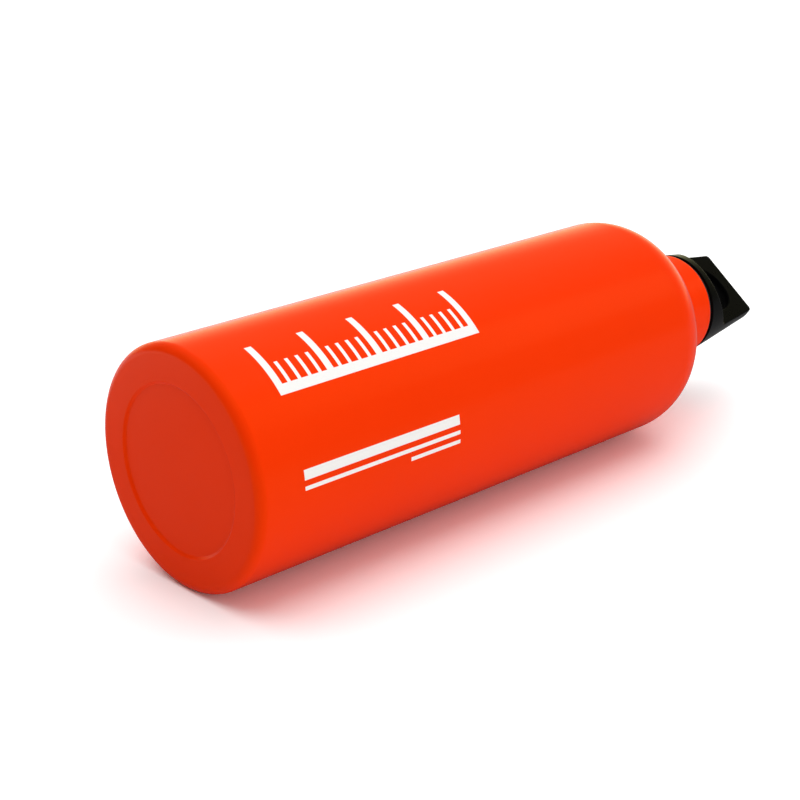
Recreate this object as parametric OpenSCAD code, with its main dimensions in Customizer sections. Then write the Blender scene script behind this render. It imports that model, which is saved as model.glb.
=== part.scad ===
// Camping fuel bottle: a seamless aluminium bottle with a screwed plug cap.
// Millimetres. The axis of the bottle is Z and the middle of its foot is the origin.
// The blade of the closed cap runs along X, so its broad faces look along Y.

/* [Bottle] */
// Outside diameter of the body
body_d = 74; // [64:1:84]
// Height from the foot to the start of the shoulder
straight_h = 183.5; // [120:0.5:240]
// Thickness of the side wall and the shoulder
wall = 1; // [0.8:0.1:1.6]
// Thickness of the floor above the foot ring
floor_t = 2.4; // [1.8:0.1:3.5]
// Radius that rounds the side wall into the foot
heel_r = 3; // [2:0.25:5]
// Width of the flat ring that the bottle stands on
foot_ring_w = 8; // [5:0.5:12]
// Depth of the round recess under the base
base_recess_depth = 0.8; // [0.4:0.1:1.4]
// Width of the sloped edge of that recess
base_recess_edge_w = 0.7; // [0.4:0.1:1.5]

/* [Shoulder and neck] */
// Radius of the arc that starts the shoulder
shoulder_r = 17.5; // [14:0.5:19]
// Slope of the cone between that arc and the neck, in degrees above level
shoulder_slope = 27; // [24:1:34]
// Outside diameter of the neck
neck_d = 36.6; // [33:0.2:38]
// Height of the neck from the foot of its cylinder to the lip
neck_h = 18.5; // [17:0.1:26]
// Thickness of the neck wall
neck_wall = 1.8; // [1:0.1:2.2]
// Radius of the hollow where the shoulder meets the neck
neck_fillet_r = 2.5; // [1.5:0.25:4]
// How far the rolled lip stands out from the neck
lip_out = 0.1; // [0.1:0.1:0.8]
// Height of the rolled lip
lip_h = 2.4; // [2:0.1:3]
// Radial gap between the plug thread and the bore of the lip
lip_gap = 0.4; // [0.3:0.05:0.8]

/* [Thread] */
// Thickness of the thread ring behind its thread
ring_wall = 2.2; // [1.6:0.1:3]
// Rise of the thread in one turn
pitch = 4; // [3.6:0.1:5]
// Height of the ridges of both threads
thread_depth = 1.3; // [1:0.1:1.5]
// Width of a ridge at its root
ridge_root_w = 2.2; // [1.6:0.1:2.3]
// Width of a ridge at its crest
ridge_crest_w = 1; // [0.6:0.1:1.1]
// Radial gap between the crests of one thread and the roots of the other
thread_gap = 0.3; // [0.25:0.05:0.5]
// Height of the thread ring
ring_h = 13; // [10:0.5:13.5]
// Space left without ridges at the ring's upper and lower end
ring_plain = 1.2; // [1:0.1:2]

/* [Seal] */
// Thickness of the seal ring between the lip and the cap
seal_t = 1.4; // [1:0.1:2.4]
// How far the edge of the seal ring stays inside the edge of the lip
seal_inset = 1.1; // [0:0.1:1.2]
// Gap between the seal ring and the plug inside it
seal_gap = 0.4; // [0.3:0.05:0.6]

/* [Cap] */
// How far the edge of the collar stays inside the edge of the lip
collar_inset = 0.4; // [0:0.1:1]
// Height from the underside of the collar to the top of the blade
cap_h = 32.2; // [30:0.2:36]
// Width of the blade between the slopes of its ends, at its top
blade_w = 27; // [25.5:0.5:30]
// Thickness of the blade at its top
blade_t = 4.6; // [4:0.2:6]
// Thickness of the blade where it meets the collar
blade_foot_t = 7; // [6:0.2:9]
// Height of the plain side of the collar at the middle of a broad face
collar_side_h = 3; // [1.5:0.25:3.5]
// Slope of the finger scoops over the collar, in degrees above level
scoop_slope = 29; // [22:1:32]
// Radius of the hollow between a scoop and the blade
scoop_r = 3; // [1.5:0.25:4]
// Radius of the two upper corners of the blade
blade_corner_r = 1.2; // [1:0.2:5]
// Width of the finger recess in each broad face of the blade
grip_w = 20; // [14:0.2:21]
// Height of the finger recess
grip_h = 14; // [12.4:0.2:15]
// Share of the width of the finger recess that its round top takes
grip_arch = 0.95; // [0.6:0.05:1]
// Radius of the lower corners of the finger recess
grip_r = 4; // [3:0.25:6]
// Height of the bar over the finger recess
grip_bar_h = 5.4; // [3.6:0.2:6]
// Thickness of the web left between the two finger recesses
web_t = 1; // [0.8:0.1:2]

/* [Plug] */
// Length of the plug below the collar
plug_h = 19.8; // [18:0.2:22]
// Wall of the hollow plug under its thread
plug_wall = 2.3; // [1.8:0.1:3.5]
// How far the hollow of the plug rises into the collar
hollow_rise = 2; // [0:0.25:3]
// Plain length of the plug below its thread
plug_plain = 1.5; // [1:0.1:2.5]
// Space between the lip and the highest ridge of the plug
ridge_drop = 0.6; // [0.4:0.1:1.2]
// Width of the vent groove cut down through the plug thread
vent_w = 3; // [2:0.25:4]
// Depth of the vent groove below the roots of the thread
vent_depth = 0.6; // [0.3:0.1:1]

/* [Hidden] */

$fn = 96;
// Steps of a thread in one turn, and the turns over which its ends fade in
thread_steps = 32;
lead_turns = 0.25;
// Depth by which a ridge is sunk into the wall that carries it
ridge_sink = 0.3;
// Overshoot of a cut past the face that it opens
over = 1;

body_r = body_d / 2;
neck_r = neck_d / 2;
neck_bore_r = neck_r - neck_wall;
shoulder_turn = 90 - shoulder_slope;
recess_r = body_r - heel_r - foot_ring_w;

// Height at which the cone of a shoulder meets the cylinder of a neck
function shoulder_top(body, arc, neck) =
    let (x = body - arc + arc * cos(shoulder_turn))
    straight_h + arc * sin(shoulder_turn) + (x - neck) * tan(shoulder_slope);

neck_z = shoulder_top(body_r, shoulder_r, neck_r);
lip_z = neck_z + neck_h;
lip_r = neck_r + lip_out;
ring_top_z = lip_z - lip_h / 2;

// Diameter over the crests of the plug thread
thread_d = neck_d - 2 * (neck_wall + ring_wall + thread_gap);
crest_r = thread_d / 2;
plug_r = crest_r - thread_depth;
ring_root_r = crest_r + thread_gap;
lip_bore_r = crest_r + lip_gap;

collar_z = lip_z + seal_t;
collar_r = lip_r - collar_inset;
collar_d = 2 * collar_r;
blade_top_z = collar_z + cap_h;
grip_top_z = blade_top_z - grip_bar_h;
foot_z = collar_z + collar_side_h + (collar_r - blade_foot_t / 2) * tan(scoop_slope);
plug_end_z = collar_z - plug_h;

// Section through one side of a bottle form: body radius, arc of the shoulder,
// neck radius, fillet at the neck, radius of the heel, level of the foot and of the top
module bottle_section(body, arc, neck, fillet, heel, foot, top) {
    centre = [body - arc, straight_h];
    tangent = centre + arc * [cos(shoulder_turn), sin(shoulder_turn)];
    corner_z = shoulder_top(body, arc, neck);
    reach = fillet * tan((90 - shoulder_slope) / 2);
    on_cone = [neck, corner_z] + reach * [cos(shoulder_slope), -sin(shoulder_slope)];
    translate([0, foot]) square([body - heel, straight_h - foot]);
    translate([0, foot + heel]) square([body, straight_h - foot - heel]);
    translate([body - heel, foot + heel]) circle(heel);
    intersection() {
        translate(centre) circle(arc);
        translate([0, straight_h]) square([body, arc]);
    }
    polygon([[0, straight_h], centre, tangent, [neck, corner_z], [0, corner_z]]);
    translate([0, straight_h]) square([neck, top - straight_h]);
    difference() {
        polygon([[neck, corner_z - over], [neck, corner_z + reach],
                 [neck + fillet, corner_z + reach], on_cone, on_cone - [0, over]]);
        translate([neck + fillet, corner_z + reach]) circle(fillet);
    }
}

// Section of the rolled lip, rounded outside and flat on top
module lip_section() {
    round_r = lip_h / 2;
    difference() {
        translate([lip_r - round_r, lip_z - round_r]) circle(round_r);
        translate([0, ring_top_z - lip_h]) square([neck_bore_r, lip_h]);
    }
    translate([lip_bore_r, lip_z - round_r]) square([lip_r - round_r - lip_bore_r, round_r]);
}

module bottle_shell() {
    color("orangered") {
        difference() {
            rotate_extrude()
                bottle_section(body_r, shoulder_r, neck_r, neck_fillet_r, heel_r, 0,
                               lip_z - lip_h / 2);
            rotate_extrude()
                bottle_section(body_r - wall, shoulder_r - wall, neck_bore_r,
                               neck_fillet_r + wall, heel_r - wall, floor_t, lip_z + over);
            translate([0, 0, -over])
                cylinder(h = over + base_recess_depth,
                         r1 = recess_r + base_recess_edge_w * over / base_recess_depth,
                         r2 = recess_r - base_recess_edge_w);
        }
        rotate_extrude() lip_section();
    }
}

// One point ring of a helical ridge: the root pair lies in the wall, the crest pair stands out
function ridge_ring(root, crest, z, angle) = [
    for (p = [[root, -ridge_root_w / 2], [crest, -ridge_crest_w / 2],
              [crest, ridge_crest_w / 2], [root, ridge_root_w / 2]])
        [p[0] * cos(angle), p[0] * sin(angle), z + p[1]]
];

// Helical ridge from one height to another. It stands out or in, by the sign of its depth,
// fades in at both ends, and passes the angle 0 at the height phase_z.
module ridge(wall_r, depth, from_z, to_z, phase_z) {
    side = sign(depth);
    count = floor((to_z - from_z) / pitch * thread_steps);
    lead = lead_turns * thread_steps;
    rings = [for (i = [0:count])
        let (z = from_z + i * pitch / thread_steps,
             fade = min(1, i / lead, (count - i) / lead),
             crest = wall_r - side * ridge_sink / 2 + fade * (depth + side * ridge_sink / 2))
        ridge_ring(wall_r - side * ridge_sink, crest, z, 360 * (z - phase_z) / pitch)];
    points = [for (ring = rings) each ring];
    sides = [for (i = [0:count - 1], j = [0:3])
        let (a = 4 * i + j, b = 4 * i + (j + 1) % 4)
        each [[a, b, b + 4], [a, b + 4, a + 4]]];
    ends = [[0, 3, 2, 1], [4 * count, 4 * count + 1, 4 * count + 2, 4 * count + 3]];
    faces = [for (f = concat(sides, ends)) side > 0 ? f : [for (k = [len(f) - 1:-1:0]) f[k]]];
    polyhedron(points, faces);
}

module neck_thread_ring() {
    color("silver") {
        difference() {
            translate([0, 0, ring_top_z - ring_h]) cylinder(h = ring_h, r = neck_bore_r);
            translate([0, 0, ring_top_z - ring_h - over])
                cylinder(h = ring_h + 2 * over, r = ring_root_r);
        }
        ridge(ring_root_r, -thread_depth, ring_top_z - ring_h + ring_plain + ridge_root_w / 2,
              ring_top_z - ring_plain - ridge_root_w / 2, lip_z + pitch / 2);
    }
}

module seal_ring() {
    color("black")
        translate([0, 0, lip_z]) difference() {
            cylinder(h = seal_t, r = lip_r - seal_inset);
            translate([0, 0, -over]) cylinder(h = seal_t + 2 * over, r = plug_r + seal_gap);
        }
}

// Space cut away on one side of the blade, seen along X: level scoop, hollow and broad face
module scoop_section() {
    lean = atan((blade_foot_t - blade_t) / 2 / (blade_top_z - foot_z));
    foot = [blade_foot_t / 2, foot_z];
    down = [cos(scoop_slope), -sin(scoop_slope)];
    up = [-sin(lean), cos(lean)];
    bend = (90 + scoop_slope + lean) / 2;
    reach = scoop_r / tan(bend);
    far = [2 * collar_r, blade_top_z + over];
    centre = foot + reach * down + scoop_r * [sin(scoop_slope), cos(scoop_slope)];
    rise = (blade_top_z + over - foot_z) / cos(lean);
    polygon([foot + reach * down, foot + 2 * collar_r * down, far,
             foot + rise * up, foot + reach * up]);
    translate(centre) circle(scoop_r);
}

// Outline of the blade seen along Y, with two round upper corners and an open foot
module blade_outline() {
    r = blade_corner_r;
    half_foot = collar_r;
    half_top = blade_w / 2;
    lean = atan((half_foot - half_top) / cap_h);
    inset = r * (1 - sin(lean)) / cos(lean) + r * tan(lean);
    for (side = [-1, 1])
        translate([side * (half_top - inset), blade_top_z - r]) circle(r);
    translate([-half_top + inset, blade_top_z - 2 * r]) square([2 * (half_top - inset), 2 * r]);
    tip = [half_top - inset, blade_top_z - r] + r * [cos(lean), sin(lean)];
    polygon([[-half_foot, collar_z], [half_foot, collar_z], tip, [-tip[0], tip[1]]]);
}

// Outline of a finger recess seen along Y, with a round top and a level foot
module grip_outline() {
    w = grip_w / 2;
    arch_r = grip_arch * w;
    arch_z = grip_top_z - arch_r;
    low = grip_top_z - grip_h;
    intersection() {
        union() {
            for (side = [-1, 1]) translate([side * (w - arch_r), arch_z]) circle(arch_r);
            translate([-w + arch_r, arch_z]) square([2 * (w - arch_r), arch_r]);
            translate([-w, low - over]) square([2 * w, arch_z - low + over]);
        }
        union() {
            for (side = [-1, 1]) translate([side * (w - grip_r), low + grip_r]) circle(grip_r);
            translate([-w + grip_r, low]) square([2 * (w - grip_r), grip_r]);
            translate([-w, low + grip_r]) square([2 * w, grip_h]);
        }
    }
}

// Turns a drawing so that it stands up, seen along Y, and gives it a depth on both sides
module across(depth) {
    rotate([90, 0, 0]) linear_extrude(height = depth, center = true) children();
}

module cap() {
    color([0.09, 0.09, 0.1]) difference() {
        union() {
            intersection() {
                translate([0, 0, collar_z])
                    cylinder(h = cap_h, r1 = collar_r, r2 = blade_w / 2);
                across(2 * collar_d) blade_outline();
            }
            translate([0, 0, plug_end_z]) cylinder(h = plug_h + over, r = plug_r);
            ridge(plug_r, thread_depth, plug_end_z + plug_plain + ridge_root_w / 2,
                  lip_z - ridge_drop - ridge_root_w / 2, lip_z);
        }
        for (side = [0, 180])
            rotate([0, 0, side]) rotate([90, 0, 90])
                linear_extrude(height = 2 * collar_d, center = true) scoop_section();
        for (side = [-1, 1])
            translate([0, side * (web_t / 2 + collar_r), 0]) across(collar_d) grip_outline();
        translate([0, 0, plug_end_z - over])
            cylinder(h = plug_h + over + hollow_rise, r = plug_r - plug_wall);
        translate([plug_r - vent_depth, -vent_w / 2, plug_end_z - over])
            cube([2 * thread_depth, vent_w, lip_z - ridge_drop / 2 - plug_end_z + over]);
    }
}

bottle_shell();
neck_thread_ring();
seal_ring();
cap();
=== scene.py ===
"""Looks of a camping fuel bottle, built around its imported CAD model.

Everything is in metres in the model's own frame: the bottle's axis is Z, its foot is at height 0
and the blade of the closed cap runs along X. The bottle lies on its side in the studio, so the
studio has its own up direction, square to the bottle's axis.
"""

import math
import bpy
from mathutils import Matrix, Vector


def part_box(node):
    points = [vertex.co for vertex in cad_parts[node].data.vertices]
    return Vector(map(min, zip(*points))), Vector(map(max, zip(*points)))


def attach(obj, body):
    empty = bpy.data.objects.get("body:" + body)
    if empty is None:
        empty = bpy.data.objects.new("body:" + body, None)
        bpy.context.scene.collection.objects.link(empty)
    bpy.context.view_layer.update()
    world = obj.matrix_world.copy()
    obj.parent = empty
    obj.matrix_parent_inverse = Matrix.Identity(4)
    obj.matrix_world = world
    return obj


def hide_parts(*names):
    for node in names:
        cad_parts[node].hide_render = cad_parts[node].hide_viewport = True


bl_info = {
    "name": "Camping fuel bottle",
    "version": (1, 0, 0),
    "blender": (4, 5, 0),
    "location": "View3D > Sidebar > Bottle",
    "description": "Builds a painted metal fuel bottle with a screw cap around its CAD model",
    "category": "Add Mesh",
}

import bmesh
import bpy
from bpy.props import FloatProperty, FloatVectorProperty, IntProperty, PointerProperty
from bpy.types import Operator, Panel, PropertyGroup
from mathutils import Matrix, Vector

MM = 0.001
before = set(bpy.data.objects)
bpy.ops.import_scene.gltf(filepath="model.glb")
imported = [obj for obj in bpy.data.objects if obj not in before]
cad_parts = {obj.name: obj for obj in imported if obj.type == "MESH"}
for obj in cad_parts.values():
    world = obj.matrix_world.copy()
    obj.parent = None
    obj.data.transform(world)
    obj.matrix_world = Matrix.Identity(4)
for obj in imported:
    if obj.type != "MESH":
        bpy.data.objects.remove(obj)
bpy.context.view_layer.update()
SHELL_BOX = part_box("bottle_shell")
RING_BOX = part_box("neck_thread_ring")
SEAL_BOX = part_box("seal_ring")
CAP_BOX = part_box("cap")

# Heights that the pieces share, from the foot up
LIP_TOP = SHELL_BOX[1].z
COLLAR_FOOT = SEAL_BOX[1].z


def length(name, millimetres, description):
    """A size that a user may change, kept in metres."""
    return FloatProperty(
        name=name,
        description=description,
        default=millimetres * MM,
        min=0.0,
        subtype="DISTANCE",
        unit="LENGTH",
        precision=5,
    )


def slope(name, degrees, description):
    """An angle that a user may change."""
    return FloatProperty(
        name=name, description=description, default=math.radians(degrees), subtype="ANGLE"
    )


def tint(name, value, description):
    """A colour that a user may change."""
    return FloatVectorProperty(
        name=name, description=description, default=value, size=3, min=0, max=1, subtype="COLOR"
    )


class FUEL_PG_shell(PropertyGroup):
    """Sizes of the bottle shell."""

    straight_height: length("Straight height", 183.5, "Height at which the shoulder starts")
    wall: length("Wall", 1.0, "Thickness of the side wall")
    floor: length("Floor", 2.4, "Height of the inside floor above the foot")
    heel: length("Heel radius", 3.0, "Radius between the side and the foot")
    foot_ring: length("Foot ring", 8.0, "Width of the ring that the bottle stands on")
    recess_depth: length("Recess depth", 0.8, "Depth of the round recess in the base")
    recess_edge: length("Recess edge", 0.7, "Width of the sloped edge of that recess")
    shoulder: length("Shoulder radius", 17.5, "Radius of the arc that starts the shoulder")
    cone: slope("Shoulder slope", 27, "Slope of the cone above that arc")
    neck_radius: length("Neck radius", 18.3, "Outside radius of the neck")
    neck_wall: length("Neck wall", 1.8, "Thickness of the neck wall")
    neck_fillet: length("Neck fillet", 2.5, "Radius of the hollow at the foot of the neck")
    lip_out: length("Lip", 0.1, "How far the rolled lip stands out from the neck")
    lip_height: length("Lip height", 2.4, "Height of the rolled lip")
    lip_bore: length("Mouth radius", 14.4, "Radius of the opening in the lip")
    lip_edge: length("Mouth edge", 0.3, "Radius of the edge around the opening")
    sides: IntProperty(name="Sides", description="Faces around the shell", default=192, min=24)


class FUEL_PG_thread(PropertyGroup):
    """Sizes that the two threads share."""

    pitch: length("Pitch", 4.0, "Rise of the thread in one turn")
    depth: length("Depth", 1.3, "Height of a ridge over its wall")
    root: length("Root", 2.2, "Width of a ridge at its root")
    crest: length("Crest", 1.0, "Width of a ridge at its crest")
    steps: IntProperty(name="Steps", description="Steps of a ridge in one turn", default=72, min=16)


class FUEL_PG_cap(PropertyGroup):
    """Sizes of the cap."""

    blade_width: length("Blade width", 27.0, "Width of the blade at its top")
    blade_top: length("Blade thickness", 4.6, "Thickness of the blade at its top")
    blade_foot: length("Blade foot", 7.0, "Thickness of the blade where it meets the collar")
    collar_side: length("Collar side", 3.0, "Height of the plain side of the collar")
    scoop: slope("Scoop slope", 29, "Slope of the finger scoops over the collar")
    scoop_fillet: length("Scoop fillet", 3.0, "Radius between a scoop and the blade")
    corner: length("Blade corner", 1.2, "Radius of the two upper corners of the blade")
    grip_width: length("Recess width", 20.0, "Width of the finger recess in each broad face")
    grip_height: length("Recess height", 14.0, "Height of the finger recess")
    grip_arch: length("Recess arch", 9.5, "Radius of the round top of the finger recess")
    grip_corner: length("Recess corner", 4.0, "Radius of the lower corners of the finger recess")
    grip_bar: length("Bar", 5.4, "Height of the bar over the finger recess")
    web: length("Web", 1.0, "Thickness left between the two finger recesses")
    edge: length("Edge", 0.45, "Rounding of the moulded edges")
    plug_radius: length("Plug radius", 12.7, "Radius of the plug under its thread")
    plug_wall: length("Plug wall", 2.3, "Wall of the hollow plug")
    hollow_rise: length("Hollow rise", 2.0, "How far the hollow rises into the collar")
    plug_plain: length("Plain end", 1.5, "Plain length of the plug below its thread")
    ridge_drop: length("Ridge drop", 0.6, "Space between the lip and the highest ridge")
    vent_width: length("Vent width", 3.0, "Width of the vent groove")
    vent_depth: length("Vent depth", 0.6, "Depth of the vent groove below the thread")


class FUEL_PG_studio(PropertyGroup):
    """The floor, the lamps and the camera."""

    up_azimuth: slope("Up", -127.4, "Direction around the bottle that points up in the studio")
    camera_place: FloatVectorProperty(
        name="Camera",
        description="Place of the camera",
        default=(0.17460, -0.37620, -0.26261),
        subtype="TRANSLATION",
        precision=5,
    )
    camera_aim: FloatVectorProperty(
        name="Aim",
        description="Point at the middle of the picture",
        default=(0.01445, -0.02860, 0.05914),
        subtype="TRANSLATION",
        precision=5,
    )
    lens: FloatProperty(name="Lens", description="Focal length in mm", default=77.915)
    reflected: tint("Reflected", (1.0, 0.96, 0.5), "Colour of the studio in reflections")
    floor_size: length("Floor", 6000, "Width of the floor")
    floor_shade: FloatProperty(name="Floor shade", description="Grey of the floor", default=0.88)
    floor_seen: FloatProperty(
        name="Floor seen", description="White of the floor as the camera sees it", default=1.2
    )
    # Painted shade: the darker grey that reflections see in the floor near the bottle.
    floor_mirrored: FloatProperty(
        name="Floor mirrored", description="Grey of the floor in reflections", default=0.28
    )
    ambient: FloatProperty(name="Ambient", description="Light from all around", default=0.52)
    key: FloatProperty(name="Key", description="Strength of the overhead light", default=1.8)
    fill: FloatProperty(name="Fill", description="Strength of the low light in front", default=1.32)
    side: FloatProperty(name="Side", description="Strength of the light on the left", default=0.25)


class FUEL_PG_colours(PropertyGroup):
    """Colours of the pieces."""

    paint: tint("Paint", (0.95, 0.037, 0.001), "Colour of the paint")
    gloss: tint("Gloss", (1.0, 0.75, 0.1), "Colour of the paint's reflections seen square on")
    ink: tint("Print", (0.93, 0.92, 0.90), "Colour of the printed marks")
    lacquer: tint("Lacquer", (0.62, 0.52, 0.34), "Colour of the lacquered metal inside")
    metal: tint("Metal", (0.78, 0.78, 0.79), "Colour of the bare metal")
    rubber: tint("Rubber", (0.015, 0.015, 0.016), "Colour of the seal")
    plastic: tint("Plastic", (0.002, 0.002, 0.0022), "Colour of the cap")


class FuelBottle(PropertyGroup):
    """All settings of the bottle."""

    shell: PointerProperty(type=FUEL_PG_shell)
    thread: PointerProperty(type=FUEL_PG_thread)
    cap: PointerProperty(type=FUEL_PG_cap)
    studio: PointerProperty(type=FUEL_PG_studio)
    colours: PointerProperty(type=FUEL_PG_colours)


def settings():
    return bpy.context.scene.fuel_bottle


# Material tools


class Wire:
    """A socket in a node tree. Arithmetic on it adds Math nodes."""

    def __init__(self, tree, socket):
        self.tree = tree
        self.socket = socket

    def math(self, operation, *others, swapped=False):
        node = self.tree.nodes.new("ShaderNodeMath")
        node.operation = operation
        terms = [*others, self] if swapped else [self, *others]
        for place, term in zip(node.inputs, terms):
            connect(self.tree, place, term)
        return Wire(self.tree, node.outputs[0])

    def __add__(self, other):
        return self.math("ADD", other)

    __radd__ = __add__

    def __sub__(self, other):
        return self.math("SUBTRACT", other)

    def __rsub__(self, other):
        return self.math("SUBTRACT", other, swapped=True)

    def __mul__(self, other):
        return self.math("MULTIPLY", other)

    __rmul__ = __mul__

    def __truediv__(self, other):
        return self.math("DIVIDE", other)

    def __abs__(self):
        return self.math("ABSOLUTE")

    def clamped(self):
        return self.math("MINIMUM", 1).math("MAXIMUM", 0)


def connect(tree, place, term):
    """Links a wire to a socket, or sets the socket's value."""
    if isinstance(term, Wire):
        tree.links.new(term.socket, place)
    elif place.type == "RGBA" and len(term) == 3:
        place.default_value = (*term, 1)
    else:
        place.default_value = term


class Nodes:
    """The node tree of a material or a world."""

    def __init__(self, owner):
        owner.use_nodes = True
        self.tree = owner.node_tree
        self.tree.nodes.clear()

    def add(self, kind, options=None, sockets=None, output=0):
        """Adds a node: its options are set first, then the values or links of its sockets."""
        node = self.tree.nodes.new(kind)
        for name, value in (options or {}).items():
            setattr(node, name, value)
        for name, value in (sockets or {}).items():
            connect(self.tree, node.inputs[name], value)
        return Wire(self.tree, node.outputs[output])

    def place(self):
        return self.add("ShaderNodeTexCoord", output="Object")

    def split(self, vector):
        node = self.add("ShaderNodeSeparateXYZ", sockets={"Vector": vector}).socket.node
        return [Wire(self.tree, out) for out in node.outputs]

    def join(self, x, y, z):
        return self.add("ShaderNodeCombineXYZ", sockets={"X": x, "Y": y, "Z": z})

    def noise(self, vector, scale, detail=3, roughness=0.5):
        sockets = {"Vector": vector, "Scale": scale, "Detail": detail, "Roughness": roughness}
        return self.add("ShaderNodeTexNoise", sockets=sockets)

    def blend(self, factor, first, second):
        """Mixes two colours."""
        node = self.tree.nodes.new("ShaderNodeMix")
        node.data_type = "RGBA"
        ends = [s for s in node.inputs if s.type == "RGBA"]
        connect(self.tree, node.inputs[0], factor)
        connect(self.tree, ends[0], first)
        connect(self.tree, ends[1], second)
        return Wire(self.tree, next(s for s in node.outputs if s.type == "RGBA"))

    def bump(self, height, distance, strength=1.0):
        sockets = {"Height": height, "Distance": distance, "Strength": strength}
        return self.add("ShaderNodeBump", sockets=sockets)

    def surface(self, sockets):
        """Ends the tree in a Principled shader with these sockets."""
        self.end("ShaderNodeOutputMaterial", self.add("ShaderNodeBsdfPrincipled", sockets=sockets))

    def end(self, kind, shader):
        end = self.tree.nodes.new(kind)
        self.tree.links.new(shader.socket, end.inputs["Surface"])


def new_material(name):
    material = bpy.data.materials.new(name)
    return material, Nodes(material)


def shade(colour, factor):
    """A colour made darker or lighter."""
    return tuple(factor * channel for channel in colour)


def around(nodes, radius):
    """Distance around the bottle's axis at a radius, distance from the axis, and height."""
    x, y, height = nodes.split(nodes.place())
    turn = y.math("ARCTAN2", x)
    out = (x * x + y * y).math("SQRT")
    return turn * radius, out, height


# Materials


def mark(across, along, centre, half):
    """1 inside a printed rectangle and 0 outside it."""
    soft = 0.08 * MM
    side = ((half[0] - abs(across - centre[0])) / soft + 0.5).clamped()
    end = ((half[1] - abs(along - centre[1])) / soft + 0.5).clamped()
    return side * end


def comb(across, along, line, first, gap, half_width, reach, count):
    """Ticks on one side of a line that runs up the bottle, evenly spaced from the first one."""
    step = (along - (first - gap / 2)) / gap
    beside = abs(step.math("FRACT") - 0.5) * gap
    soft = 0.08 * MM
    tick = ((half_width - beside) / soft + 0.5).clamped()
    middle = first + gap * (count - 1) / 2
    field = mark(across, along, (line - reach / 2, middle), (reach / 2, gap * count / 2))
    return tick * field


def print_mask(nodes):
    """A plain scale with ticks, and beside it three plain lines."""
    radius = SHELL_BOX[1].x
    across, _, along = around(nodes, radius)

    def arc_at(degrees):
        return math.radians(degrees) * radius

    low, high = 18 * MM, 93 * MM
    gap = (high - low) / 20
    line = arc_at(-84)
    middle = (low + high) / 2
    scale = mark(across, along, (line, middle), (1.6 * MM, (high - low) / 2 + 1.2 * MM))
    fine = comb(across, along, line, low, gap, 0.6 * MM, 9 * MM, 21)
    main = comb(across, along, line, low, 5 * gap, 1.2 * MM, 17 * MM, 5)
    first = mark(across, along, (arc_at(-46), 46 * MM), (1.5 * MM, 30 * MM))
    second = mark(across, along, (arc_at(-40), 46 * MM), (0.6 * MM, 30 * MM))
    third = mark(across, along, (arc_at(-35.5), 66 * MM), (0.6 * MM, 10 * MM))
    total = scale
    for part in (fine, main, first, second, third):
        total = total.math("MAXIMUM", part)
    return total


def paint_material():
    """Glossy orange enamel with a printed scale."""
    colours = settings().colours
    material, nodes = new_material("orange_enamel")
    place = nodes.place()
    clouds = nodes.noise(place, 28, detail=2)
    enamel = nodes.blend(clouds, shade(colours.paint, 0.97), shade(colours.paint, 1.02))
    ink = print_mask(nodes)
    speckle = nodes.noise(place, 2500, detail=2)
    printed = nodes.blend(speckle, shade(colours.ink, 0.96), shade(colours.ink, 1.03))
    peel = nodes.noise(place, 700, detail=2) * 0.6 + ink
    smears = nodes.noise(place, 60, detail=4)
    nodes.surface(
        {
            "Base Color": nodes.blend(ink, enamel, printed),
            "Roughness": 0.17 + 0.07 * smears + 0.16 * ink,
            "IOR": 1.22,
            "Specular Tint": tuple(colours.gloss),
            "Normal": nodes.bump(peel, 0.012 * MM),
        }
    )
    return material


def lacquer_material():
    """Clear golden lacquer over the drawn metal inside."""
    colours = settings().colours
    material, nodes = new_material("inside_lacquer")
    across, out, along = around(nodes, SHELL_BOX[1].x)
    drawn = nodes.noise(nodes.join(across * 900, out * 900, along * 40), 1, detail=3)
    pools = nodes.noise(nodes.place(), 90, detail=3)
    nodes.surface(
        {
            "Base Color": nodes.blend(pools, shade(colours.lacquer, 0.85), tuple(colours.lacquer)),
            "Metallic": 0.85,
            "Roughness": 0.28 + 0.14 * drawn,
            "Coat Weight": 0.5,
            "Normal": nodes.bump(drawn, 0.02 * MM),
        }
    )
    return material


def turned_metal_material():
    """Bare metal with the fine rings of the turning tool."""
    colours = settings().colours
    material, nodes = new_material("turned_metal")
    across, out, along = around(nodes, RING_BOX[1].x)
    cut = nodes.noise(nodes.join(across * 30, out * 9000, along * 9000), 1, detail=2)
    stain = nodes.noise(nodes.place(), 220, detail=4)
    nodes.surface(
        {
            "Base Color": nodes.blend(stain, shade(colours.metal, 0.86), tuple(colours.metal)),
            "Metallic": 1.0,
            "Roughness": 0.22 + 0.12 * cut + 0.06 * stain,
            "Normal": nodes.bump(cut, 0.01 * MM),
        }
    )
    return material


def rubber_material():
    """Matt black rubber with a fine mould grain and a little dust."""
    colours = settings().colours
    material, nodes = new_material("seal_rubber")
    place = nodes.place()
    grain = nodes.noise(place, 4000, detail=3)
    dust = nodes.noise(place, 350, detail=4, roughness=0.6)
    nodes.surface(
        {
            "Base Color": nodes.blend(dust, tuple(colours.rubber), shade(colours.rubber, 1.8)),
            "Roughness": 0.62 + 0.16 * dust,
            "Normal": nodes.bump(grain, 0.02 * MM),
        }
    )
    return material


def plastic_material():
    """Black moulded plastic with a fine spark-eroded grain and soft handling marks."""
    colours = settings().colours
    material, nodes = new_material("moulded_plastic")
    place = nodes.place()
    grain = nodes.noise(place, 3200, detail=3, roughness=0.6)
    flow = nodes.noise(place, 120, detail=3)
    rubbed = nodes.noise(place, 420, detail=5, roughness=0.65)
    nodes.surface(
        {
            "Base Color": nodes.blend(flow, shade(colours.plastic, 0.85), shade(colours.plastic, 1.2)),
            "Roughness": 0.22 + 0.08 * rubbed + 0.05 * flow,
            "IOR": 1.14,
            "Normal": nodes.bump(grain, 0.012 * MM),
        }
    )
    return material


# Modelling tools


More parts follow.
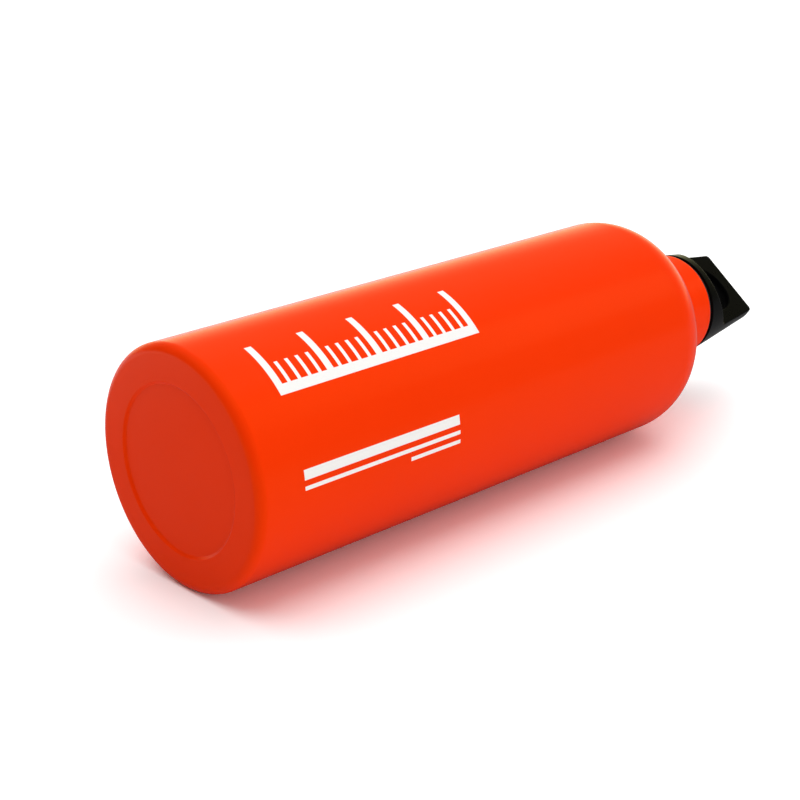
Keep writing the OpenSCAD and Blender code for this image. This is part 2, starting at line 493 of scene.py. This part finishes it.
def start_piece(name):
    """Names the primitive that was just added and puts its place into its mesh."""
    piece = bpy.context.object
    piece.name = piece.data.name = name
    bpy.ops.object.transform_apply(location=True, rotation=True, scale=True)
    return piece


def deselect():
    bpy.ops.object.select_all(action="DESELECT")


def pick(piece, kind, test):
    """Selects the vertices, edges or faces that pass a test, in edit mode."""
    bpy.ops.mesh.select_mode(type={"verts": "VERT", "edges": "EDGE", "faces": "FACE"}[kind])
    bpy.ops.mesh.select_all(action="DESELECT")
    mesh = bmesh.from_edit_mesh(piece.data)
    for element in getattr(mesh, kind):
        element.select_set(test(element))
    mesh.select_flush_mode()
    bmesh.update_edit_mesh(piece.data)


def middle(edge):
    return (edge.verts[0].co + edge.verts[1].co) / 2


def apply_modifier(piece, modifier):
    bpy.context.view_layer.objects.active = piece
    bpy.ops.object.modifier_apply(modifier=modifier.name)


def combine(piece, tool, operation):
    """Joins a piece with a tool or cuts it by the tool, which is then removed."""
    modifier = piece.modifiers.new("combine", "BOOLEAN")
    modifier.operation = operation
    modifier.solver = "EXACT"
    modifier.object = tool
    apply_modifier(piece, modifier)
    bpy.data.objects.remove(tool)


def mirrored(piece, name):
    """A copy of a piece, turned half a turn about the bottle's axis."""
    copy = piece.copy()
    copy.data = piece.data.copy()
    copy.name = copy.data.name = name
    bpy.context.scene.collection.objects.link(copy)
    copy.data.transform(Matrix.Rotation(math.pi, 4, "Z"))
    return copy


def block(name, low, high):
    """A box between two corners."""
    deselect()
    low, high = Vector(low), Vector(high)
    bpy.ops.mesh.primitive_cube_add(size=1, location=(low + high) / 2, scale=high - low)
    return start_piece(name)


def soften(piece, width, angle=35, segments=3):
    """Rounds the sharp edges of a piece."""
    modifier = piece.modifiers.new("soften", "BEVEL")
    modifier.width = width
    modifier.segments = segments
    modifier.limit_method = "ANGLE"
    modifier.angle_limit = math.radians(angle)
    modifier.use_clamp_overlap = False
    apply_modifier(piece, modifier)


def smooth(piece, angle=35):
    """Smooth shading, sharp only past an angle, led by the larger faces."""
    deselect()
    piece.select_set(True)
    bpy.context.view_layer.objects.active = piece
    bpy.ops.object.shade_smooth_by_angle(angle=math.radians(angle))
    modifier = piece.modifiers.new("even", "WEIGHTED_NORMAL")
    modifier.keep_sharp = True
    modifier.weight = 80
    apply_modifier(piece, modifier)


def turned(name, profile, sides, ring=False):
    """Turns (radius, height) points about the bottle's axis: a disc or a ring whose edge is
    extruded and scaled from point to point. A disc is closed on the axis at its end, and a
    ring comes back to its first point."""
    deselect()
    radius, height = profile[0]
    bpy.ops.mesh.primitive_circle_add(
        vertices=sides,
        radius=radius,
        fill_type="NOTHING" if ring else "TRIFAN",
        location=(0, 0, height),
    )
    piece = start_piece(name)
    bpy.ops.object.mode_set(mode="EDIT")
    bpy.ops.mesh.select_mode(type="EDGE")
    bpy.ops.mesh.select_all(action="SELECT")
    if not ring:
        bpy.ops.mesh.region_to_loop()
    for next_radius, next_height in profile[1:] + (profile[:1] if ring else []):
        bpy.ops.mesh.extrude_edges_move(
            TRANSFORM_OT_translate={"value": (0, 0, next_height - height)}
        )
        ratio = next_radius / radius
        bpy.ops.transform.resize(value=(ratio, ratio, 1), center_override=(0, 0, next_height))
        radius, height = next_radius, next_height
    if not ring:
        bpy.ops.mesh.merge(type="CENTER")
    bpy.ops.mesh.select_all(action="SELECT")
    bpy.ops.mesh.remove_doubles(threshold=0.001 * MM)
    bpy.ops.mesh.normals_make_consistent(inside=False)
    bpy.ops.object.mode_set(mode="OBJECT")
    return piece


def arc(centre, radius, start, end, steps):
    """Points on an arc, with its angles in degrees."""
    angles = [math.radians(start + (end - start) * i / steps) for i in range(steps + 1)]
    return [(centre[0] + radius * math.cos(a), centre[1] + radius * math.sin(a)) for a in angles]


def straight(start, end, steps):
    """Points between two points, without the ends."""
    return [tuple(a + (b - a) * i / steps for a, b in zip(start, end)) for i in range(1, steps)]


def rounded(corners, radii, steps=4):
    """A closed outline of points whose corners are rounded to these radii."""
    outline = []
    for i, (corner, radius) in enumerate(zip(corners, radii)):
        here = Vector(corner)
        back = (Vector(corners[i - 1]) - here).normalized()
        ahead = (Vector(corners[(i + 1) % len(corners)]) - here).normalized()
        if radius == 0:
            outline.append(tuple(here))
            continue
        half = back.angle(ahead) / 2
        centre = here + (back + ahead).normalized() * radius / math.sin(half)
        first = here + back * radius / math.tan(half) - centre
        last = here + ahead * radius / math.tan(half) - centre
        swing = first.angle_signed(last)
        for j in range(steps + 1):
            turn = -swing * j / steps
            outline.append(tuple(centre + Matrix.Rotation(turn, 2) @ first))
    return outline


def ridge(name, wall_radius, side, start, end, phase):
    """A helical ridge on a round wall, standing out (side 1) or in (side -1). It fades in at both
    ends, and its middle passes the angle 0 at the height phase."""
    thread = settings().thread
    sink = 0.3 * MM
    chamfer = 0.2 * MM
    flank = [
        (-sink, thread.root / 2),
        (0, thread.root / 2),
        (thread.depth - chamfer, thread.crest / 2 + chamfer),
        (thread.depth, thread.crest / 2 - chamfer),
    ]
    outline = [(side * x, -y) for x, y in flank] + [(side * x, y) for x, y in flank[::-1]]
    section = bpy.data.curves.new(name + "_section", "CURVE")
    section.dimensions = "2D"
    line = section.splines.new("POLY")
    line.points.add(len(outline) - 1)
    for point, (x, y) in zip(line.points, outline):
        point.co = (x, y, 0, 1)
    line.use_cyclic_u = True
    holder = bpy.data.objects.new(name + "_section", section)
    bpy.context.scene.collection.objects.link(holder)

    path = bpy.data.curves.new(name, "CURVE")
    path.dimensions = "3D"
    path.twist_mode = "Z_UP"
    path.bevel_mode = "OBJECT"
    path.bevel_object = holder
    path.use_fill_caps = True
    helix = path.splines.new("POLY")
    count = round((end - start) / thread.pitch * thread.steps)
    lead = thread.steps / 4
    helix.points.add(count)
    for i, point in enumerate(helix.points):
        height = start + (end - start) * i / count
        turn = math.tau * (height - phase) / thread.pitch
        point.co = (wall_radius * math.cos(turn), wall_radius * math.sin(turn), height, 1)
        point.radius = max(0.02, min(1, i / lead, (count - i) / lead))
    piece = bpy.data.objects.new(name, path)
    bpy.context.scene.collection.objects.link(piece)
    deselect()
    piece.select_set(True)
    bpy.context.view_layer.objects.active = piece
    bpy.ops.object.convert(target="MESH")
    bpy.data.objects.remove(holder)
    bpy.ops.object.mode_set(mode="EDIT")
    bpy.ops.mesh.select_all(action="SELECT")
    bpy.ops.mesh.remove_doubles(threshold=0.001 * MM)
    bpy.ops.mesh.normals_make_consistent(inside=False)
    bpy.ops.object.mode_set(mode="OBJECT")
    return piece


# Pieces


def bottle_side(body, shoulder, neck, fillet, heel, foot, s):
    """Points from the rounded heel up to the foot of the neck."""
    turn = 90 - math.degrees(s.cone)
    heel_arc = arc((body - heel, foot + heel), heel, -90, 0, 10)
    shoulder_arc = arc((body - shoulder, s.straight_height), shoulder, 0, turn, 26)
    tangent = shoulder_arc[-1]
    corner_z = tangent[1] + (tangent[0] - neck) * math.tan(s.cone)
    reach = fillet * math.tan(math.radians(turn) / 2)
    neck_arc = arc((neck + fillet, corner_z + reach), fillet, 180 + turn, 180, 10)
    return (
        heel_arc
        + straight(heel_arc[-1], shoulder_arc[0], 12)
        + shoulder_arc
        + straight(tangent, neck_arc[0], 4)
        + neck_arc
    )


def base_points(s):
    """Points of the base from the middle of its recess out to the foot ring."""
    body = SHELL_BOX[1].x
    ring_inside = body - s.heel - s.foot_ring
    corners = [
        (0.3 * ring_inside, s.recess_depth),
        (0.7 * ring_inside, s.recess_depth),
        (ring_inside - s.recess_edge, s.recess_depth),
        (ring_inside, 0),
        (body - s.heel - 0.4 * s.foot_ring, 0),
    ]
    return rounded(corners, [0, 0, 0.6 * MM, 0.7 * MM, 0], steps=6)


def lip_points(s):
    """Points of the neck and the rolled lip, from outside to the neck's bore."""
    half = s.lip_height / 2
    centre = (s.neck_radius + s.lip_out - half, LIP_TOP - half)
    swell = [(s.neck_radius, centre[1] - 2 * half), (s.neck_radius + s.lip_out / 2, centre[1] - half)]
    edge = s.lip_edge
    return (
        swell
        + arc(centre, half, 0, 90, 12)
        + arc((s.lip_bore + edge, LIP_TOP - edge), edge, 90, 180, 4)
        + [(s.lip_bore, LIP_TOP - half), (s.neck_radius - s.neck_wall, LIP_TOP - half)]
    )


class FUEL_OT_shell(Operator):
    """Turns the painted shell from the base up to the lip and back down inside"""

    bl_idname = "fuel.shell"
    bl_label = "Bottle shell"

    def execute(self, context):
        s = settings().shell
        body = SHELL_BOX[1].x
        outside = bottle_side(body, s.shoulder, s.neck_radius, s.neck_fillet, s.heel, 0, s)
        lip = lip_points(s)
        neck = straight(outside[-1], lip[0], 3)
        inside = bottle_side(
            body - s.wall,
            s.shoulder - s.wall,
            s.neck_radius - s.neck_wall,
            s.neck_fillet + s.wall,
            s.heel - s.wall,
            s.floor,
            s,
        )
        floor = [(0.6 * body, s.floor), (0.2 * body, s.floor)]
        profile = base_points(s) + outside + neck + lip + inside[::-1] + floor
        piece = turned("bottle_shell_skin", profile, s.sides)
        for material in (paint_material(), lacquer_material(), turned_metal_material()):
            piece.data.materials.append(material)
        for face in piece.data.polygons:
            face.material_index = self.finish_of(face, s)
        smooth(piece, angle=30)
        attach(piece, "bottle")
        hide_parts("bottle_shell")
        return {"FINISHED"}

    def finish_of(self, face, s):
        """0 for paint, 1 for the lacquer inside and 2 for the bare rim of the mouth."""
        middle, normal = face.center, face.normal
        out = math.hypot(middle.x, middle.y)
        rim = s.neck_radius + s.lip_out - s.lip_height / 2
        if middle.z > LIP_TOP - s.lip_height and out < rim:
            return 2
        faces_in = middle.x * normal.x + middle.y * normal.y < 0
        on_floor = normal.z > 0.5 and middle.z < 2 * s.floor
        return 1 if (faces_in and middle.z > s.recess_depth) or on_floor else 0


class FUEL_OT_thread_ring(Operator):
    """Turns the ring inside the neck and winds its thread"""

    bl_idname = "fuel.thread_ring"
    bl_label = "Neck thread ring"

    def execute(self, context):
        thread = settings().thread
        cap = settings().cap
        low, high = RING_BOX[0].z, RING_BOX[1].z
        outer = RING_BOX[1].x
        root = cap.plug_radius + thread.depth + 0.3 * MM
        edge = 0.3 * MM
        profile = rounded(
            [(root, low), (outer, low), (outer, high), (root, high)], [edge, 0, 0, edge]
        )
        piece = turned("neck_thread_ring_skin", profile, 144, ring=True)
        plain = 1.2 * MM + thread.root / 2
        winding = ridge(
            "ring_thread", root, -1, low + plain, high - plain, LIP_TOP + thread.pitch / 2
        )
        combine(piece, winding, "UNION")
        piece.data.materials.clear()
        piece.data.materials.append(turned_metal_material())
        smooth(piece)
        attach(piece, "bottle")
        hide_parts("neck_thread_ring")
        return {"FINISHED"}


class FUEL_OT_seal(Operator):
    """Turns the rubber seal between the lip and the cap"""

    bl_idname = "fuel.seal"
    bl_label = "Seal ring"

    def execute(self, context):
        low, high = SEAL_BOX[0].z, SEAL_BOX[1].z
        outer = SEAL_BOX[1].x
        inner = settings().cap.plug_radius + 0.4 * MM
        outline = rounded(
            [(inner, low), (outer, low), (outer, high), (inner, high)], [0.35 * MM] * 4, steps=5
        )
        piece = turned("seal_ring_skin", outline, 144, ring=True)
        piece.data.materials.append(rubber_material())
        smooth(piece, angle=50)
        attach(piece, "seal")
        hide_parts("seal_ring")
        return {"FINISHED"}


class FUEL_OT_cap(Operator):
    """Shapes the moulded cap: collar, blade, finger recesses and hollow plug with its thread"""

    bl_idname = "fuel.cap"
    bl_label = "Cap"

    def execute(self, context):
        s = settings().cap
        piece = self.head(s)
        soften(piece, s.edge)
        combine(piece, self.plug(s), "UNION")
        top = COLLAR_FOOT + s.hollow_rise
        low = CAP_BOX[0].z
        hollow = s.plug_radius - s.plug_wall
        outline = [(0.5 * hollow, low - 1 * MM), (hollow + 0.4 * MM, low - 1 * MM)]
        outline += [(hollow + 0.4 * MM, low), (hollow, low + 0.6 * MM)]
        outline += arc((hollow - 1.2 * MM, top - 1.2 * MM), 1.2 * MM, 0, 90, 6)
        combine(piece, turned("hollow", outline, 96), "DIFFERENCE")
        piece.name = piece.data.name = "cap_moulding"
        piece.data.materials.clear()
        piece.data.materials.append(plastic_material())
        smooth(piece)
        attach(piece, "cap")
        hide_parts("cap")
        return {"FINISHED"}

    def head(self, s):
        """The collar and the blade: a cone cut by two scoops and two finger recesses."""
        collar = CAP_BOX[1].x
        top = CAP_BOX[1].z
        height = top - COLLAR_FOOT
        deselect()
        bpy.ops.mesh.primitive_cone_add(
            vertices=160,
            radius1=collar,
            radius2=s.blade_width / 2,
            depth=height,
            location=(0, 0, COLLAR_FOOT + height / 2),
        )
        piece = start_piece("cap_head")
        scoop = self.scoop(s, collar, top)
        combine(piece, mirrored(scoop, "scoop_back"), "DIFFERENCE")
        combine(piece, scoop, "DIFFERENCE")
        self.round_corners(piece, s, top)
        grip = self.grip(s, top)
        combine(piece, mirrored(grip, "grip_back"), "DIFFERENCE")
        combine(piece, grip, "DIFFERENCE")
        return piece

    def scoop(self, s, collar, top):
        """Cutter for one side of the blade: level scoop, hollow and leaning broad face."""
        foot_y = s.blade_foot / 2
        foot_z = COLLAR_FOOT + s.collar_side + (collar - foot_y) * math.tan(s.scoop)
        lean = math.atan((s.blade_foot - s.blade_top) / 2 / (top - foot_z))
        far = 2 * collar
        over = 1 * MM
        rise = top + over - foot_z
        piece = block("scoop", (-far, foot_y, foot_z), (far, far, top + over))
        bpy.ops.object.mode_set(mode="EDIT")
        pick(piece, "verts", lambda v: v.co.y > far - over and v.co.z < foot_z + over)
        drop = (far - foot_y) * math.tan(s.scoop)
        bpy.ops.transform.translate(value=(0, 0, -drop))
        pick(piece, "verts", lambda v: v.co.y < foot_y + over and v.co.z > top)
        bpy.ops.transform.translate(value=(0, -rise * math.tan(lean), 0))
        reach = s.scoop_fillet / math.tan((math.pi / 2 + s.scoop + lean) / 2)
        foot = Vector((0, foot_y, foot_z))
        pick(piece, "edges", lambda e: (middle(e) - foot).length < over)
        bpy.ops.mesh.bevel(offset=reach, segments=12, affect="EDGES", clamp_overlap=False)
        bpy.ops.object.mode_set(mode="OBJECT")
        return piece

    def round_corners(self, piece, s, top):
        """Rounds the two upper corners of the blade."""
        near = s.blade_width / 2 - 1 * MM
        bpy.context.view_layer.objects.active = piece
        bpy.ops.object.mode_set(mode="EDIT")
        pick(piece, "edges", lambda e: middle(e).z > top - 0.01 * MM and abs(middle(e).x) > near)
        bpy.ops.mesh.bevel(offset=s.corner, segments=8, affect="EDGES", clamp_overlap=False)
        bpy.ops.object.mode_set(mode="OBJECT")

    def grip(self, s, top):
        """Cutter for one finger recess, with round corners and a rounded floor edge."""
        half = s.grip_width / 2
        high = top - s.grip_bar
        low = high - s.grip_height
        near, far = s.web / 2, s.blade_foot
        hair = 0.01 * MM
        piece = block("grip", (-half, near, low), (half, far, high))
        bpy.ops.object.mode_set(mode="EDIT")
        for level, radius, segments in ((high, s.grip_arch, 24), (low, s.grip_corner, 10)):
            pick(piece, "edges", lambda e: all(abs(v.co.z - level) < hair for v in e.verts)
                 and abs(e.verts[0].co.y - e.verts[1].co.y) > s.web)
            bpy.ops.mesh.bevel(
                offset=radius, segments=segments, affect="EDGES", clamp_overlap=False
            )
        pick(piece, "edges", lambda e: all(abs(v.co.y - near) < hair for v in e.verts))
        bpy.ops.mesh.bevel(offset=0.7 * MM, segments=4, affect="EDGES", clamp_overlap=False)
        bpy.ops.object.mode_set(mode="OBJECT")
        return piece

    def plug(self, s):
        """The plug with its thread, cut through by the vent groove."""
        thread = settings().thread
        low = CAP_BOX[0].z
        edge = 0.5 * MM
        inside = COLLAR_FOOT + 1 * MM
        outline = [(0.5 * s.plug_radius, low)]
        outline += arc((s.plug_radius - edge, low + edge), edge, -90, 0, 4)
        outline += [(s.plug_radius, inside), (0.5 * s.plug_radius, inside)]
        piece = turned("plug", outline, 144)
        winding = ridge(
            "plug_thread",
            s.plug_radius,
            1,
            low + s.plug_plain + thread.root / 2,
            LIP_TOP - s.ridge_drop - thread.root / 2,
            LIP_TOP,
        )
        combine(piece, winding, "UNION")
        over = 1 * MM
        vent = block(
            "vent",
            (s.plug_radius - s.vent_depth, -s.vent_width / 2, low - over),
            (s.plug_radius + 2 * thread.depth, s.vent_width / 2, LIP_TOP - s.ridge_drop / 2),
        )
        combine(piece, vent, "DIFFERENCE")
        return piece


class FUEL_OT_stage(Operator):
    """Sets up the floor, the light and the camera"""

    bl_idname = "fuel.stage"
    bl_label = "Stage"

    def execute(self, context):
        s = settings().studio
        up = Vector((math.cos(s.up_azimuth), math.sin(s.up_azimuth), 0))
        look = (Vector(s.camera_aim) - Vector(s.camera_place)).normalized()
        right = look.cross(up).normalized()
        away = up.cross(right)
        self.floor(s, up, right)
        self.world(s, up, right, away)
        self.lamps(s, up, right, away)
        self.camera(s, right, look)
        return {"FINISHED"}

    def floor(self, s, up, right):
        deselect()
        bpy.ops.mesh.primitive_plane_add(size=s.floor_size)
        floor = start_piece("studio_floor")
        turn = Matrix((right, up.cross(right), up)).transposed().to_4x4()
        floor.data.transform(Matrix.Translation(-up * SHELL_BOX[1].x) @ turn)
        material, nodes = new_material("studio_floor")
        seen = nodes.add("ShaderNodeLightPath", output="Is Camera Ray")
        mirrored = nodes.add("ShaderNodeLightPath", output="Is Glossy Ray")
        white = nodes.blend(seen, (s.floor_shade,) * 3, (s.floor_seen,) * 3)
        # Painted shade and painted light in reflections: glossy rays see the floor at the dark grey
        # floor_mirrored near the bottle, darker than the camera sees it, rising to 0.95 between 0.1
        # and 0.25 m out from the bottle's axis on one side, so the paint reflects a shaded floor close
        # by and a bright floor further off.
        beyond = up.cross(Vector((0, 0, 1)))
        sockets = {0: nodes.place(), 1: tuple(beyond)}
        distance = nodes.add(
            "ShaderNodeVectorMath", {"operation": "DOT_PRODUCT"}, sockets, output="Value"
        )
        far = ((distance - 0.1) / 0.15).clamped()
        white = nodes.blend(mirrored, white, nodes.blend(far, (s.floor_mirrored,) * 3, (0.95,) * 3))
        matte = nodes.add("ShaderNodeBsdfDiffuse", sockets={"Color": white})
        clear = nodes.add("ShaderNodeBsdfTransparent")
        behind = nodes.add("ShaderNodeNewGeometry", output="Backfacing")
        mixed = nodes.add("ShaderNodeMixShader", sockets={0: behind, 1: matte, 2: clear})
        nodes.end("ShaderNodeOutputMaterial", mixed)
        floor.data.materials.append(material)

    def world(self, s, up, right, away):
        world = bpy.data.worlds.new("studio_tent")
        bpy.context.scene.world = world
        nodes = Nodes(world)
        direction = nodes.add("ShaderNodeTexCoord", output="Generated")

        def towards(axis):
            sockets = {0: direction, 1: tuple(axis)}
            return nodes.add(
                "ShaderNodeVectorMath", {"operation": "DOT_PRODUCT"}, sockets, output="Value"
            )

        backdrop = ((towards(away) - 0.42) / 0.3).clamped()
        backdrop = backdrop * (0.22 + 0.78 * (1 - towards(up) / 0.4).clamped())
        side = (0.8 * right + 0.58 * up + 0.12 * away).normalized()
        softbox = ((towards(side) - 0.968) / 0.018).clamped()
        tent = 0.05 + 1.5 * backdrop + 0.8 * softbox
        camera = nodes.add("ShaderNodeLightPath", output="Is Camera Ray")
        glossy = nodes.add("ShaderNodeLightPath", output="Is Glossy Ray")
        through = nodes.add("ShaderNodeLightPath", output="Is Transmission Ray")
        sky = s.ambient * (0.28 + 1.05 * towards(up) + 0.8 * towards(Vector((0, 0, 1)))).math(
            "MAXIMUM", 0
        )
        strength = sky + glossy * (tent - sky)
        plain = camera.math("MAXIMUM", through)
        strength = strength + plain * (1 - strength)
        warm = nodes.blend(glossy, (1.0, 1.0, 1.0), s.reflected)
        light = nodes.add("ShaderNodeBackground", sockets={"Color": warm, "Strength": strength})
        nodes.end("ShaderNodeOutputWorld", light)

    def lamps(self, s, up, right, away):
        """A broad light overhead, a low one in front of the bottle and one that faces its base."""
        overhead = 0.95 * up - 0.1 * right + 0.2 * away
        in_front = 0.05 * up + 0.67 * right - 0.7 * away
        at_base = 0.1 * up - right
        for name, energy, width, toward in (
            ("overhead", s.key, 84, overhead),
            ("front", s.fill, 60, in_front),
            ("left", s.side, 50, at_base),
        ):
            lamp = bpy.data.lights.new(name, "SUN")
            lamp.energy = energy
            lamp.angle = math.radians(width)
            holder = bpy.data.objects.new(name, lamp)
            bpy.context.scene.collection.objects.link(holder)
            holder.rotation_euler = toward.to_track_quat("Z", "Y").to_euler()
            holder.visible_glossy = False

    def camera(self, s, right, look):
        data = bpy.data.cameras.new("photo_camera")
        data.sensor_width = 36
        data.lens = s.lens
        data.clip_start = 0.01
        data.clip_end = 20
        camera = bpy.data.objects.new("photo_camera", data)
        bpy.context.scene.collection.objects.link(camera)
        turn = Matrix((right, right.cross(look), -look)).transposed().to_4x4()
        camera.matrix_world = Matrix.Translation(s.camera_place) @ turn
        bpy.context.scene.camera = camera


class FUEL_PT_panel(Panel):
    """Lists the bottle's steps and settings"""

    bl_idname = "FUEL_PT_panel"
    bl_label = "Camping fuel bottle"
    bl_space_type = "VIEW_3D"
    bl_region_type = "UI"
    bl_category = "Bottle"

    def draw(self, context):
        bottle = settings()
        for step in STEPS:
            self.layout.operator(step.bl_idname)
        for group in ("shell", "thread", "cap", "studio", "colours"):
            area = self.layout.box()
            values = getattr(bottle, group)
            for name in values.bl_rna.properties.keys():
                if name not in ("rna_type", "name"):
                    area.prop(values, name)


GROUPS = (
    FUEL_PG_shell,
    FUEL_PG_thread,
    FUEL_PG_cap,
    FUEL_PG_studio,
    FUEL_PG_colours,
    FuelBottle,
)
STEPS = (FUEL_OT_shell, FUEL_OT_thread_ring, FUEL_OT_seal, FUEL_OT_cap, FUEL_OT_stage)


def register():
    for kind in (*GROUPS, *STEPS, FUEL_PT_panel):
        bpy.utils.register_class(kind)
    bpy.types.Scene.fuel_bottle = PointerProperty(type=FuelBottle)


def unregister():
    del bpy.types.Scene.fuel_bottle
    for kind in (FUEL_PT_panel, *reversed(STEPS), *reversed(GROUPS)):
        bpy.utils.unregister_class(kind)


def main():
    register()
    bpy.ops.fuel.shell()
    bpy.ops.fuel.thread_ring()
    bpy.ops.fuel.seal()
    bpy.ops.fuel.cap()
    bpy.ops.fuel.stage()
    bpy.context.scene.view_settings.view_transform = "Standard"
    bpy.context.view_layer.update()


if __name__ == "__main__":
    main()
